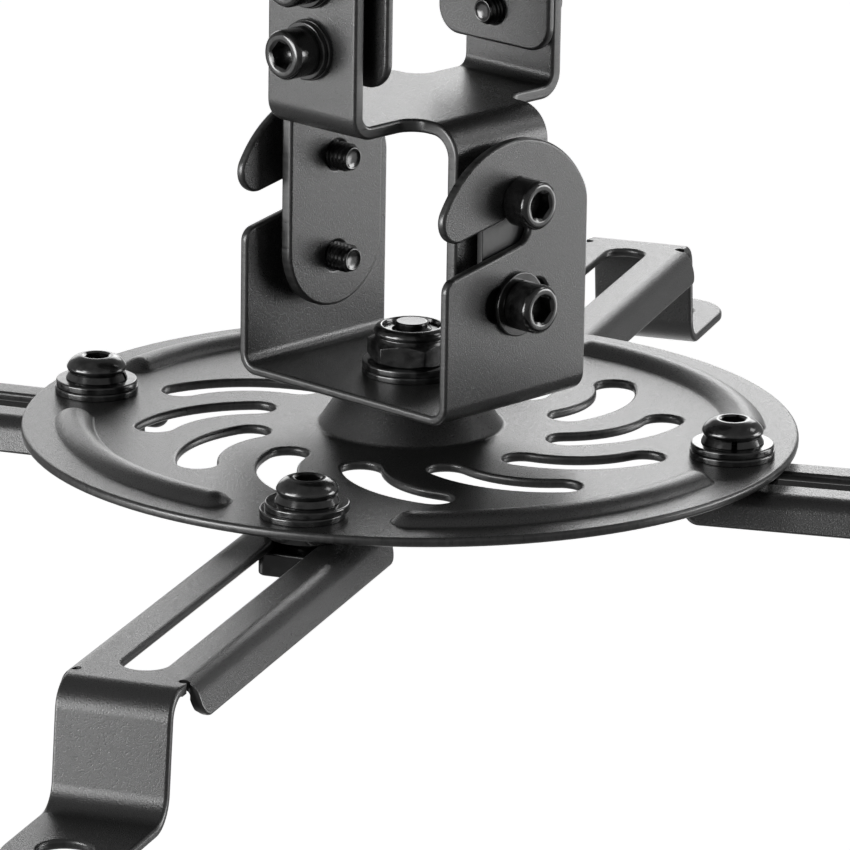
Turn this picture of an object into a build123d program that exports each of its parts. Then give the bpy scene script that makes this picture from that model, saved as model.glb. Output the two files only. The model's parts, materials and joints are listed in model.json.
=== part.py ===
"""Projector ceiling mount: ceiling yoke, folded cross bracket, tilting U bracket and a slotted spider plate
with four telescoping arms.

Millimetres, +Z up. The origin is the centre of the ceiling plate's upper face, so the mount hangs below z = 0.
X runs along the tilt screws and Y along the roll screws. The rest pose is the level one, arms pulled out.
"""
import os
from math import atan, cos, radians, sin, sqrt, tan

from build123d import *

os.makedirs("parts", exist_ok=True)

# Clearances
running_gap = 0.05  # radial, turning pin in its hole
sliding_gap = 0.35  # each side, screw in a slot

# M6 socket cap screws
screw_r = 3.0
cap_head_r = 5.0
cap_head_h = 6.0
socket_across = 5.0
socket_depth = 3.2
cap_edge = 0.5
washer_r = 6.2
washer_t = 1.2
lock_washer_r = 5.9
lock_washer_t = 1.2

# Ceiling plate and yoke
ceiling_plate_r = 60.0
ceiling_plate_t = 3.0
ceiling_hole_r = 3.5
ceiling_hole_circle_r = 48.0
ceiling_hole_count = 4
yoke_sheet = 2.1
yoke_gap = 44.7  # between the inner faces of the legs
yoke_width = 30.7
yoke_leg = 42.1  # from the ceiling plate down to the leg ends
yoke_bend = 2.0  # inner bend radius
yoke_corner = 5.6

# Roll joint, two screws on each side
roll_drop = 35.1  # roll axis below the ceiling plate
roll_clamp_gap = 14.6  # clamp screw above the roll axis
roll_travel = 12.0  # degrees each way
roll_spacer_r = 7.0
roll_spacer_t = 2.8
roll_screw_length = 13.2

# Cross bracket, one folded sheet
cross_sheet = 2.8
wall_width = 24.4
wall_bend = 2.4
cross_drop = 14.4  # web's upper face below the roll axis
leg_outer = 24.5  # outer face of a leg from the middle
leg_width = 26.8
leg_bend = 4.2
cross_corner = 4.0  # inside corners of the cross-shaped blank
leg_end_lift = 2.9  # centre of a leg's round end above its clamp screw

# Tilt joint, a pivot screw and a clamp screw on each side
tilt_drop = 16.3  # tilt axis below the web's upper face
tilt_clamp_gap = 21.2
tilt_travel = 15.0  # degrees each way
dish_washer_r = 6.5
dish_washer_t = 1.1
strip_t = 1.5
strip_width = 16.8
strip_margin = 8.0  # strip's end beyond each screw axis
strip_corner = 3.0
pivot_screw_length = 12.0
clamp_screw_length = 13.4
clamp_washer_r = 6.6
clamp_washer_t = 1.0

# Tilt bracket, a U with hooked ears
bracket_sheet = 2.0
bracket_bend = 2.2
ear_width = 41.0
ear_crown_over = 2.8  # crown arc's radius beyond half the ear's width
ear_crown_shift = 1.0  # its centre towards the hook mouth
ear_top = 12.7  # ear's highest point above the tilt axis
ear_shoulder = 8.0  # rounding where the crown meets the straight edge
hook_drop = 6.0  # hook slot's elbow below the tilt axis
hook_slope = 11.0  # degrees, rising inwards
beak_round = 4.6
mouth_round = 3.0  # corner below the hook's mouth
tilt_web_drop = 43.5  # web's under face below the tilt axis

# Swivel bolt, M8
bolt_r = 4.0
bolt_across = 13.0
bolt_head_h = 5.3
bolt_stand = 0.7  # bolt end above the nut
bolt_end_chamfer = 0.7
swivel_washer_r = 9.2
swivel_washer_t = 1.4
nut_hex_h = 5.0
nut_collar_h = 2.3
nut_collar_r = 6.1
nut_collar_round = 1.4

# Spider plate
plate_r = 79.2
plate_sheet = 2.0
plate_turn = 26.7  # degrees, rest pose
boss_height = 8.8
boss_base_r = 19.0
boss_top_r = 13.2
boss_round = 1.2
slot_count = 12
slot_width = 8.0
slot_inner_r = 33.2
slot_outer_r = 52.0
slot_sweep = 22.4  # degrees from the inner to the outer end
slot_bow_r = 24.0
rim_circle_r = 67.8
rib_r = 68.5
rib_width = 9.1  # across its feet
rib_height = 2.2
rib_foot_r = 1.2  # hollow rounding along a rib's feet
rib_sink = 0.03  # a rib's feet reach this far into the sheet
rib_span = 55.0  # degrees between the centres of a rib's round ends

# Arm clamps, one at each corner of the spider plate
arm_count = 4
button_r = 6.2
button_h = 3.4
button_flat_r = 3.05
button_rim_h = 1.1  # head's widest place above its seat
button_foot = 0.6  # bevel under the button head's rim
button_bulge = 0.42  # how far the dome stands out from a straight cone
button_socket_across = 4.6
button_socket_depth = 2.5
spring_washer_r = 6.1
spring_washer_t = 1.5
spring_washer_slit = 1.0
rim_washer_r = 8.4
rim_washer_t = 1.45
wide_washer_r = 8.6  # lower of the two washers, with a wider hole
wide_washer_hole_r = 4.2
wide_washer_slip = {"right": 0.0, "back": 0.0, "left": 0.0, "front": 0.9}  # off the screw's axis
wide_washer_slip_angle = 223.5  # degrees
under_washer_r = 8.5
under_washer_t = 1.8
clamp_nut_length = 17.0
clamp_nut_width = 15.0
clamp_nut_h = 5.0
clamp_nut_round = 2.0
rim_screw_stand = 1.2  # screw end below the clamp nut

# Arms, channel section with a stepped foot
arm_sheet = 2.0
arm_width = 30.2  # across the lower edges of the flanges
arm_height = 7.0
arm_flare = 18.0  # degrees, flanges lean outwards
arm_bend = 1.9
arm_tail = 11.0  # inner end beyond the clamp screw
arm_reach = 102.0  # upper end of the step from the clamp screw
arm_slot_width = 8.9
arm_slot_start = 7.5  # slot's inner end beyond the clamp screw
arm_slot_stop = 11.8  # slot's outer end short of the step
flange_stop = 8.2  # flanges end short of the step
flange_round = 3.5
relief_r = 1.1  # notch between a flange's end and the step's tongue
step_drop = 23.3  # arm's upper face to the foot's upper face
step_lean = 6.5  # degrees, the step spreads outwards on its way down
step_bend = 4.0
foot_bend = 5.0
foot_width = 22.9
foot_length = 33.2  # from the step's lower end to the foot's tip
foot_hole_r = 5.0
foot_hole_inset = 12.4  # hole's centre short of the foot's tip
arm_angles = {"right": 29.6, "back": 115.7, "left": 205.2, "front": 294.5}
arm_out = {"right": 4.0, "back": 3.8, "left": 0.0, "front": 0.0}  # how much further an arm is pulled out

# Heights, from the ceiling down
yoke_top = -ceiling_plate_t
yoke_end = yoke_top - yoke_leg
roll_z = yoke_top - roll_drop
web_top = roll_z - cross_drop
tilt_z = web_top - tilt_drop
clamp_z = tilt_z - tilt_clamp_gap
bracket_under = tilt_z - tilt_web_drop
bracket_floor = bracket_under + bracket_sheet
plate_top = bracket_under - boss_height
plate_under = plate_top - plate_sheet
arm_top = plate_under - under_washer_t

# Distances from the middle, along Y for the roll joint and along X for the tilt joint
yoke_outer = yoke_gap / 2 + yoke_sheet
wall_inner = yoke_outer + roll_spacer_t
wall_outer = wall_inner + cross_sheet
leg_inner = leg_outer - cross_sheet
ear_inner = leg_outer + dish_washer_t + strip_t
ear_outer = ear_inner + bracket_sheet


def cap_screw(length):
    """Socket cap screw, seat at z = 0, head above and shank below."""
    with BuildPart() as screw:
        with BuildSketch():
            Circle(cap_head_r)
        extrude(amount=cap_head_h)
        fillet(screw.edges().filter_by(GeomType.CIRCLE).group_by(Axis.Z)[-1], cap_edge)
        with BuildSketch(Plane.XY.offset(cap_head_h)):
            RegularPolygon(socket_across / sqrt(3), 6)
        extrude(amount=-socket_depth, mode=Mode.SUBTRACT)
        with BuildSketch():
            Circle(screw_r)
        extrude(amount=-length)
    return screw.part


def ring(outer_r, inner_r, height):
    """Flat ring that stands on z = 0."""
    with BuildPart() as body:
        with BuildSketch():
            Circle(outer_r)
            Circle(inner_r, mode=Mode.SUBTRACT)
        extrude(amount=height)
    return body.part


# Ceiling plate, with its ceiling screw holes
with BuildPart() as ceiling_plate:
    with BuildSketch(Plane.XY.offset(yoke_top)):
        Circle(ceiling_plate_r)
        with PolarLocations(ceiling_hole_circle_r, ceiling_hole_count, 45):
            Circle(ceiling_hole_r, mode=Mode.SUBTRACT)
    extrude(amount=ceiling_plate_t)
ceiling_plate.part.label = "ceiling_plate"
export_step(ceiling_plate.part, "parts/ceiling_plate.step")

# Ceiling yoke, a U of sheet with its legs down and tapped for the roll screws
with BuildPart() as ceiling_yoke:
    with BuildSketch(Plane.YZ) as yoke_section:
        with BuildLine():
            FilletPolyline(
                (-yoke_outer, yoke_end),
                (-yoke_outer, yoke_top),
                (yoke_outer, yoke_top),
                (yoke_outer, yoke_end),
                radius=yoke_bend + yoke_sheet,
            )
            Line((yoke_outer, yoke_end), (yoke_gap / 2, yoke_end))
            FilletPolyline(
                (yoke_gap / 2, yoke_end),
                (yoke_gap / 2, yoke_top - yoke_sheet),
                (-yoke_gap / 2, yoke_top - yoke_sheet),
                (-yoke_gap / 2, yoke_end),
                radius=yoke_bend,
            )
            Line((-yoke_gap / 2, yoke_end), (-yoke_outer, yoke_end))
        make_face()
    extrude(amount=yoke_width / 2, both=True)
    fillet(ceiling_yoke.edges().filter_by(Axis.Y).group_by(Axis.Z)[0], yoke_corner)
    with BuildSketch(Plane.XZ):
        with Locations((0, roll_z), (0, roll_z + roll_clamp_gap)):
            Circle(screw_r)
    extrude(amount=yoke_outer, both=True, mode=Mode.SUBTRACT)
ceiling_yoke.part.label = "ceiling_yoke"
export_step(ceiling_yoke.part, "parts/ceiling_yoke.step")

# Roll joint hardware: spacers between yoke and walls, washers and cap screws outside the walls
roll_heights = (roll_z, roll_z + roll_clamp_gap)
roll_sides = ((1, -90), (-1, 90))


def roll_places(distance):
    """Seats on both walls at a distance from the middle, with local +Z pointing outwards."""
    return [
        Location((0, side * distance, height), (turn, 0, 0)) for side, turn in roll_sides for height in roll_heights
    ]


with BuildPart() as roll_spacers:
    with Locations(*roll_places(yoke_outer)):
        add(ring(roll_spacer_r, screw_r, roll_spacer_t))
roll_spacers.part.label = "roll_spacers"
export_step(roll_spacers.part, "parts/roll_spacers.step")

with BuildPart() as roll_flat_washers:
    with Locations(*roll_places(wall_outer)):
        add(ring(washer_r, screw_r, washer_t))
roll_flat_washers.part.label = "roll_flat_washers"
export_step(roll_flat_washers.part, "parts/roll_flat_washers.step")

with BuildPart() as roll_lock_washers:
    with Locations(*roll_places(wall_outer + washer_t)):
        add(ring(lock_washer_r, screw_r, lock_washer_t))
roll_lock_washers.part.label = "roll_lock_washers"
export_step(roll_lock_washers.part, "parts/roll_lock_washers.step")

with BuildPart() as roll_screws:
    with Locations(*roll_places(wall_outer + washer_t + lock_washer_t)):
        add(cap_screw(roll_screw_length))
roll_screws.part.label = "roll_screws"
export_step(roll_screws.part, "parts/roll_screws.step")

# Cross bracket: walls folded up along Y, legs folded down along X, from one cross-shaped blank
wall_top = roll_z + roll_clamp_gap
with BuildPart() as cross_bracket:
    with BuildSketch(Plane.YZ):
        with BuildLine():
            FilletPolyline(
                (-wall_outer, wall_top + wall_width / 2),
                (-wall_outer, web_top - cross_sheet),
                (wall_outer, web_top - cross_sheet),
                (wall_outer, wall_top + wall_width / 2),
                radius=wall_bend + cross_sheet,
            )
            Line((wall_outer, wall_top + wall_width / 2), (wall_inner, wall_top + wall_width / 2))
            FilletPolyline(
                (wall_inner, wall_top + wall_width / 2),
                (wall_inner, web_top),
                (-wall_inner, web_top),
                (-wall_inner, wall_top + wall_width / 2),
                radius=wall_bend,
            )
            Line((-wall_inner, wall_top + wall_width / 2), (-wall_outer, wall_top + wall_width / 2))
        make_face()
    extrude(amount=wall_width / 2, both=True)
    fillet(cross_bracket.edges().filter_by(Axis.Y).group_by(Axis.Z)[-1], wall_width / 2 - running_gap)
    with BuildSketch(Plane.XZ):
        with BuildLine():
            FilletPolyline(
                (-leg_outer, clamp_z + leg_end_lift - leg_width / 2),
                (-leg_outer, web_top),
                (leg_outer, web_top),
                (leg_outer, clamp_z + leg_end_lift - leg_width / 2),
                radius=leg_bend + cross_sheet,
            )
            Line(
                (leg_outer, clamp_z + leg_end_lift - leg_width / 2),
                (leg_inner, clamp_z + leg_end_lift - leg_width / 2),
            )
            FilletPolyline(
                (leg_inner, clamp_z + leg_end_lift - leg_width / 2),
                (leg_inner, web_top - cross_sheet),
                (-leg_inner, web_top - cross_sheet),
                (-leg_inner, clamp_z + leg_end_lift - leg_width / 2),
                radius=leg_bend,
            )
            Line(
                (-leg_inner, clamp_z + leg_end_lift - leg_width / 2),
                (-leg_outer, clamp_z + leg_end_lift - leg_width / 2),
            )
        make_face()
    extrude(amount=leg_width / 2, both=True)
    fillet(cross_bracket.edges().filter_by(Axis.X).group_by(Axis.Z)[0], leg_width / 2 - running_gap)
    fillet(
        cross_bracket.edges()
        .filter_by(Axis.Z)
        .filter_by(lambda edge: abs(abs(edge.center().X) - wall_width / 2) < 0.01)
        .filter_by(lambda edge: abs(abs(edge.center().Y) - leg_width / 2) < 0.01),
        cross_corner,
    )
    with BuildSketch(Plane.XZ):
        with Locations((0, roll_z)):
            Circle(screw_r + running_gap)
        with BuildLine():
            slot_path = CenterArc((0, roll_z), roll_clamp_gap, 90 - roll_travel, 2 * roll_travel)
        SlotArc(arc=slot_path, height=2 * (screw_r + sliding_gap))
    extrude(amount=wall_outer, both=True, mode=Mode.SUBTRACT)
    with BuildSketch(Plane.YZ):
        with Locations((0, tilt_z), (0, clamp_z)):
            Circle(screw_r)
    extrude(amount=leg_outer, both=True, mode=Mode.SUBTRACT)
cross_bracket.part.label = "cross_bracket"
export_step(cross_bracket.part, "parts/cross_bracket.step")

# Tilt joint hardware, outwards from each leg: dished washers, a friction strip, then the bracket's ear
tilt_sides = ((1, 90), (-1, -90))


def tilt_places(distance, *heights):
    """Seats on both sides at a distance from the middle, with local +Z pointing outwards."""
    return [Location((side * distance, 0, height), (0, turn, 0)) for side, turn in tilt_sides for height in heights]


with BuildPart() as dish_washers:
    with Locations(*tilt_places(leg_outer, tilt_z, clamp_z)):
        add(ring(dish_washer_r, screw_r, dish_washer_t))
dish_washers.part.label = "dish_washers"
export_step(dish_washers.part, "parts/dish_washers.step")

strip_length = tilt_clamp_gap + 2 * strip_margin
with BuildPart() as friction_strips:
    with BuildSketch(Plane.YZ.offset(leg_outer + dish_washer_t)):
        with Locations((0, (tilt_z + clamp_z) / 2)):
            RectangleRounded(strip_width, strip_length, strip_corner)
        with Locations((0, tilt_z), (0, clamp_z)):
            Circle(screw_r, mode=Mode.SUBTRACT)
    extrude(amount=strip_t)
    mirror(about=Plane.YZ)
friction_strips.part.label = "friction_strips"
export_step(friction_strips.part, "parts/friction_strips.step")

with BuildPart() as tilt_pivot_screws:
    with Locations(*tilt_places(ear_outer, tilt_z)):
        add(cap_screw(pivot_screw_length))
tilt_pivot_screws.part.label = "tilt_pivot_screws"
export_step(tilt_pivot_screws.part, "parts/tilt_pivot_screws.step")

with BuildPart() as tilt_clamp_washers:
    with Locations(*tilt_places(ear_outer, clamp_z)):
        add(ring(clamp_washer_r, screw_r, clamp_washer_t))
tilt_clamp_washers.part.label = "tilt_clamp_washers"
export_step(tilt_clamp_washers.part, "parts/tilt_clamp_washers.step")

with BuildPart() as tilt_clamp_screws:
    with Locations(*tilt_places(ear_outer + clamp_washer_t, clamp_z)):
        add(cap_screw(clamp_screw_length))
tilt_clamp_screws.part.label = "tilt_clamp_screws"
export_step(tilt_clamp_screws.part, "parts/tilt_clamp_screws.step")

# Tilt bracket: U of sheet whose ears hook over the pivot screws from the front
hook_r = screw_r + sliding_gap
ear_crown_r = ear_width / 2 + ear_crown_over
crown_z = tilt_z + ear_top - ear_crown_r
mouth_z = tilt_z - hook_drop - ear_width / 2 * tan(radians(hook_slope))
with BuildPart() as tilt_bracket:
    with BuildSketch(Plane.XZ):
        with BuildLine():
            FilletPolyline(
                (-ear_outer, tilt_z + ear_top),
                (-ear_outer, bracket_under),
                (ear_outer, bracket_under),
                (ear_outer, tilt_z + ear_top),
                radius=bracket_bend + bracket_sheet,
            )
            Line((ear_outer, tilt_z + ear_top), (ear_inner, tilt_z + ear_top))
            FilletPolyline(
                (ear_inner, tilt_z + ear_top),
                (ear_inner, bracket_floor),
                (-ear_inner, bracket_floor),
                (-ear_inner, tilt_z + ear_top),
                radius=bracket_bend,
            )
            Line((-ear_inner, tilt_z + ear_top), (-ear_outer, tilt_z + ear_top))
        make_face()
    extrude(amount=ear_crown_r + ear_crown_shift, both=True)
    with BuildSketch(Plane.YZ) as ear_outline:
        with Locations((-ear_crown_shift, crown_z)):
            Circle(ear_crown_r)
        with Locations((ear_width / 2, mouth_z)):
            Rectangle(4 * ear_crown_r, 2 * ear_crown_r, align=(Align.MAX, Align.MIN), mode=Mode.INTERSECT)
        with Locations((0, bracket_under)):
            Rectangle(ear_width, mouth_z - bracket_under, align=(Align.CENTER, Align.MIN))
        with Locations((-ear_width / 2, mouth_z)):
            SlotCenterToCenter(
                ear_width / cos(radians(hook_slope)), 2 * hook_r, rotation=hook_slope, mode=Mode.SUBTRACT
            )
        with Locations((0, tilt_z - hook_drop / 2)):
            SlotCenterToCenter(hook_drop, 2 * hook_r, rotation=90, mode=Mode.SUBTRACT)
        low_corners = ear_outline.vertices().filter_by(lambda corner: corner.Y < mouth_z)
        fillet(low_corners.group_by(Axis.X)[0].sort_by(Axis.Y)[-1], mouth_round)
        high_corners = ear_outline.vertices().filter_by(lambda corner: corner.Y > mouth_z)
        fillet(high_corners.sort_by(Axis.X)[0], beak_round)
        high_corners = ear_outline.vertices().filter_by(lambda corner: corner.Y > mouth_z)
        fillet(high_corners.group_by(Axis.X)[-1].sort_by(Axis.Y)[-1], ear_shoulder)
        with BuildLine():
            tilt_path = CenterArc((0, tilt_z), tilt_clamp_gap, 270 - tilt_travel, 2 * tilt_travel)
        SlotArc(arc=tilt_path, height=2 * hook_r, mode=Mode.SUBTRACT)
    extrude(amount=2 * ear_outer, both=True, mode=Mode.INTERSECT)
    with BuildSketch(Plane.XY.offset(bracket_under)):
        Circle(bolt_r)
    extrude(amount=bracket_sheet, mode=Mode.SUBTRACT)
tilt_bracket.part.label = "tilt_bracket"
export_step(tilt_bracket.part, "parts/tilt_bracket.step")

# Swivel bolt from below, with its washers and lock nut on the bracket's floor
swivel_nut_z = bracket_floor + 2 * swivel_washer_t
bolt_top = swivel_nut_z + nut_hex_h + nut_collar_h + bolt_stand
boss_under = bracket_under - plate_sheet
with BuildPart() as swivel_bolt:
    with BuildSketch(Plane.XY.offset(boss_under)):
        RegularPolygon(bolt_across / sqrt(3), 6)
    extrude(amount=-bolt_head_h)
    with BuildSketch(Plane.XY.offset(boss_under)):
        Circle(bolt_r)
    extrude(amount=bolt_top - boss_under)
    chamfer(swivel_bolt.edges().filter_by(GeomType.CIRCLE).group_by(Axis.Z)[-1], bolt_end_chamfer)
swivel_bolt.part.label = "swivel_bolt"
export_step(swivel_bolt.part, "parts/swivel_bolt.step")

with BuildPart() as swivel_lower_washer:
    with Locations((0, 0, bracket_floor)):
        add(ring(swivel_washer_r, bolt_r, swivel_washer_t))
swivel_lower_washer.part.label = "swivel_lower_washer"
export_step(swivel_lower_washer.part, "parts/swivel_lower_washer.step")

with BuildPart() as swivel_upper_washer:
    with Locations((0, 0, bracket_floor + swivel_washer_t)):
        add(ring(swivel_washer_r, bolt_r, swivel_washer_t))
swivel_upper_washer.part.label = "swivel_upper_washer"
export_step(swivel_upper_washer.part, "parts/swivel_upper_washer.step")

nut_corner_r = bolt_across / sqrt(3)
with BuildPart() as swivel_nut:
    with BuildSketch(Plane.XY.offset(swivel_nut_z)):
        RegularPolygon(nut_corner_r, 6)
    extrude(amount=nut_hex_h)
    with BuildSketch(Plane.XZ):
        with BuildLine():
            Polyline(
                (0, swivel_nut_z),
                (bolt_across / 2, swivel_nut_z),
                (nut_corner_r, swivel_nut_z + (nut_corner_r - bolt_across / 2) / 2),
                (nut_corner_r, swivel_nut_z + nut_hex_h - (nut_corner_r - bolt_across / 2)),
                (bolt_across / 2, swivel_nut_z + nut_hex_h),
                (0, swivel_nut_z + nut_hex_h),
                close=True,
            )
        make_face()
    revolve(axis=Axis.Z, mode=Mode.INTERSECT)
    with BuildSketch(Plane.XY.offset(swivel_nut_z + nut_hex_h)):
        Circle(nut_collar_r)
    extrude(amount=nut_collar_h)
    fillet(swivel_nut.edges().filter_by(GeomType.CIRCLE).group_by(Axis.Z)[-1], nut_collar_round)
    with BuildSketch(Plane.XY.offset(swivel_nut_z)):
        Circle(bolt_r)
    extrude(amount=nut_hex_h + nut_collar_h, mode=Mode.SUBTRACT)
swivel_nut.part.label = "swivel_nut"
export_step(swivel_nut.part, "parts/swivel_nut.step")

# Spider plate: disc pressed up into a conical boss, turbine slots and four pressed ribs
boss_slope = (boss_base_r - boss_top_r) / boss_height
boss_wall = plate_sheet * sqrt(1 + boss_slope**2)


rib_flank = 2 * atan(2 * rib_height / rib_width)  # steepest slope of a rib's sides
rib_arch_r = (rib_width**2 / 4 + rib_height**2) / (2 * rib_height)  # crown and foot radii together


def rib_bump(foot_r, base):
    """One rib as a hump along an arc about the plate's axis, with domed ends."""
    crown_r = rib_arch_r - foot_r
    top = base + rib_height
    side_turn = (crown_r * sin(rib_flank), top - crown_r * (1 - cos(rib_flank)))
    low = base - plate_sheet / 2
    with BuildPart() as bump:
        with BuildSketch(Plane.XZ.rotated((0, 0, -rib_span / 2))):
            with BuildLine():
                for side in (1, -1):
                    foot = rib_r + side * rib_width / 2
                    shoulder = (rib_r + side * side_turn[0], side_turn[1])
                    TangentArc((rib_r, top), shoulder, tangent=(side, 0))
                    TangentArc((foot, base), shoulder, tangent=(-side, 0))
                    Line((foot, base), (foot, low))
                Line((rib_r + rib_width / 2, low), (rib_r - rib_width / 2, low))
            make_face()
        revolve(axis=Axis.Z, revolution_arc=rib_span)
        for end in (1, -1):
            angle = radians(end * rib_span / 2)
            middle = (rib_r * cos(angle), rib_r * sin(angle), 0)
            outward = (cos(angle), sin(angle), 0)
            with BuildSketch(Plane(middle, x_dir=outward, z_dir=(sin(angle), -cos(angle), 0))):
                with BuildLine():
                    TangentArc((0, top), side_turn, tangent=(1, 0))
                    TangentArc((rib_width / 2, base), side_turn, tangent=(-1, 0))
                    Polyline((rib_width / 2, base), (rib_width / 2, low), (0, low), (0, top))
                make_face()
            revolve(axis=Axis(middle, (0, 0, end)), revolution_arc=180)
    return bump.part


slot_inner_end = Vector(slot_inner_r, 0)
slot_outer_end = Vector(slot_outer_r * cos(radians(slot_sweep)), slot_outer_r * sin(radians(slot_sweep)))
with BuildPart() as spider_blank:
    with BuildSketch(Plane.XZ):
        with BuildLine():
            Polyline(
                (bolt_r + running_gap, boss_height),
                (boss_top_r, boss_height),
                (boss_base_r, 0),
                (plate_r, 0),
                (plate_r, -plate_sheet),
                (boss_base_r - boss_wall + boss_slope * plate_sheet, -plate_sheet),
                (boss_top_r - boss_wall + boss_slope * plate_sheet, boss_height - plate_sheet),
                (bolt_r + running_gap, boss_height - plate_sheet),
                close=True,
            )
        make_face()
    revolve(axis=Axis.Z)
    fillet(
        spider_blank.edges().filter_by(GeomType.CIRCLE)
        .filter_by(lambda edge: abs(edge.radius - boss_top_r) < 0.01 or abs(edge.radius - boss_base_r) < 0.01),
        boss_round,
    )
    with PolarLocations(0, arm_count, 45):
        add(rib_bump(rib_foot_r, -rib_sink))
    with PolarLocations(0, arm_count, 45):
        add(rib_bump(rib_foot_r + plate_sheet, -plate_sheet - rib_sink), mode=Mode.SUBTRACT)
    with BuildSketch():
        with PolarLocations(rim_circle_r, arm_count):
            Circle(screw_r + running_gap)
        with BuildLine(mode=Mode.PRIVATE):
            turbine_path = RadiusArc(slot_outer_end, slot_inner_end, slot_bow_r)
        with PolarLocations(0, slot_count):
            SlotArc(arc=turbine_path, height=slot_width)
    extrude(amount=plate_sheet + rib_height, both=True, mode=Mode.SUBTRACT)

with BuildPart() as spider_plate:
    with Locations(Location((0, 0, plate_top), (0, 0, plate_turn))):
        add(spider_blank.part)
spider_plate.part.label = "spider_plate"
export_step(spider_plate.part, "parts/spider_plate.step")

# Arm clamp: button-head screw, spring washer and two flat washers above the plate, a washer and a nut below
stack_z = 2 * rim_washer_t
head_z = stack_z + spring_washer_t
nut_top = -plate_sheet - under_washer_t - arm_sheet
rim_screw_end = nut_top - clamp_nut_h - rim_screw_stand
dome_foot = (button_r, head_z + button_rim_h)
dome_top = (button_flat_r, head_z + button_h)
with BuildPart() as button_screw:
    with BuildSketch(Plane.XZ):
        with BuildLine():
            Polyline(
                (0, rim_screw_end),
                (screw_r, rim_screw_end),
                (screw_r, head_z),
                (button_r - button_foot, head_z),
                dome_foot,
            )
            ThreePointArc(
                dome_foot,
                ((dome_foot[0] + dome_top[0]) / 2 + button_bulge, (dome_foot[1] + dome_top[1]) / 2 + button_bulge),
                dome_top,
            )
            Polyline(dome_top, (0, head_z + button_h), (0, rim_screw_end))
        make_face()
    revolve(axis=Axis.Z)
    with BuildSketch(Plane.XY.offset(head_z + button_h)):
        RegularPolygon(button_socket_across / sqrt(3), 6)
    extrude(amount=-button_socket_depth, mode=Mode.SUBTRACT)

with BuildPart() as split_washer:
    with BuildSketch(Plane.XY.offset(stack_z)):
        Circle(spring_washer_r)
        Circle(screw_r, mode=Mode.SUBTRACT)
        with Locations((spring_washer_r, 0)):
            Rectangle(2 * spring_washer_r, spring_washer_slit, mode=Mode.SUBTRACT)
    extrude(amount=spring_washer_t)

flat_washer = ring(rim_washer_r, screw_r, rim_washer_t)
wide_washer = ring(wide_washer_r, wide_washer_hole_r, rim_washer_t)
low_washer = ring(under_washer_r, screw_r, under_washer_t)

with BuildPart() as plate_nut:
    with BuildSketch(Plane.XY.offset(nut_top - clamp_nut_h)):
        RectangleRounded(clamp_nut_length, clamp_nut_width, clamp_nut_round)
        Circle(screw_r, mode=Mode.SUBTRACT)
    extrude(amount=clamp_nut_h)

# Arm: slotted channel, then a step down to a round-ended foot, drawn with the clamp screw at the origin
flare = radians(arm_flare)
flange_foot = arm_width / 2
flange_top = flange_foot - arm_height * tan(flare)  # where the flange's plane meets the upper face
inner_foot = flange_foot - arm_sheet / cos(flare)
inner_top = flange_top + arm_sheet * tan(flare) - arm_sheet / cos(flare)
arm_flat = flange_top - (arm_bend + arm_sheet) * tan(radians(90 - arm_flare) / 2)  # half the flat between the bends
flange_end = arm_reach - flange_stop
step_foot = arm_reach + step_drop * tan(radians(step_lean))
step_back = arm_sheet * (1 - sin(radians(step_lean))) / cos(radians(step_lean))  # step's inner face behind its outer
foot_tip = step_foot + foot_length
with BuildPart() as arm:
    with BuildSketch(Plane.YZ.offset(-arm_tail)):
        with BuildLine():
            FilletPolyline(
                (-flange_foot, -arm_height),
                (-flange_top, 0),
                (flange_top, 0),
                (flange_foot, -arm_height),
                radius=arm_bend + arm_sheet,
            )
            Line((flange_foot, -arm_height), (inner_foot, -arm_height))
            FilletPolyline(
                (inner_foot, -arm_height),
                (inner_top, -arm_sheet),
                (-inner_top, -arm_sheet),
                (-inner_foot, -arm_height),
                radius=arm_bend,
            )
            Line((-inner_foot, -arm_height), (-flange_foot, -arm_height))
        make_face()
    extrude(amount=flange_end + arm_tail)
    fillet(arm.edges().filter_by(Axis.Y).group_by(Axis.Z)[0], flange_round)
    with BuildSketch(Plane.XZ):
        with BuildLine():
            FilletPolyline(
                (flange_end, 0),
                (arm_reach, 0),
                (step_foot, -step_drop),
                (foot_tip, -step_drop),
                radius=[step_bend + arm_sheet, foot_bend],
            )
            Line((foot_tip, -step_drop), (foot_tip, -step_drop - arm_sheet))
            FilletPolyline(
                (foot_tip, -step_drop - arm_sheet),
                (step_foot - step_back, -step_drop - arm_sheet),
                (arm_reach - step_back, -arm_sheet),
                (flange_end, -arm_sheet),
                radius=[foot_bend + arm_sheet, step_bend],
            )
            Line((flange_end, -arm_sheet), (flange_end, 0))
        make_face()
    extrude(amount=foot_width / 2, both=True)
    fillet(
        arm.edges().filter_by(Axis.Z).group_by(Axis.X)[-1],
        foot_width / 2 - running_gap,
    )
    with BuildSketch(Plane.XY.offset(-step_drop)):
        with Locations((foot_tip - foot_hole_inset, 0)):
            Circle(foot_hole_r)
    extrude(amount=-arm_sheet, mode=Mode.SUBTRACT)
    slot_end = arm_reach - arm_slot_stop
    with BuildSketch():
        with Locations(((slot_end - arm_slot_start) / 2, 0)):
            SlotOverall(slot_end + arm_slot_start, arm_slot_width)
    extrude(amount=-arm_sheet, mode=Mode.SUBTRACT)
    with BuildSketch():
        for side in (1, -1):
            with Locations((flange_end, side * (arm_flat + foot_width / 2) / 2)):
                Circle(relief_r)
    extrude(amount=-arm_height, mode=Mode.SUBTRACT)

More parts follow.
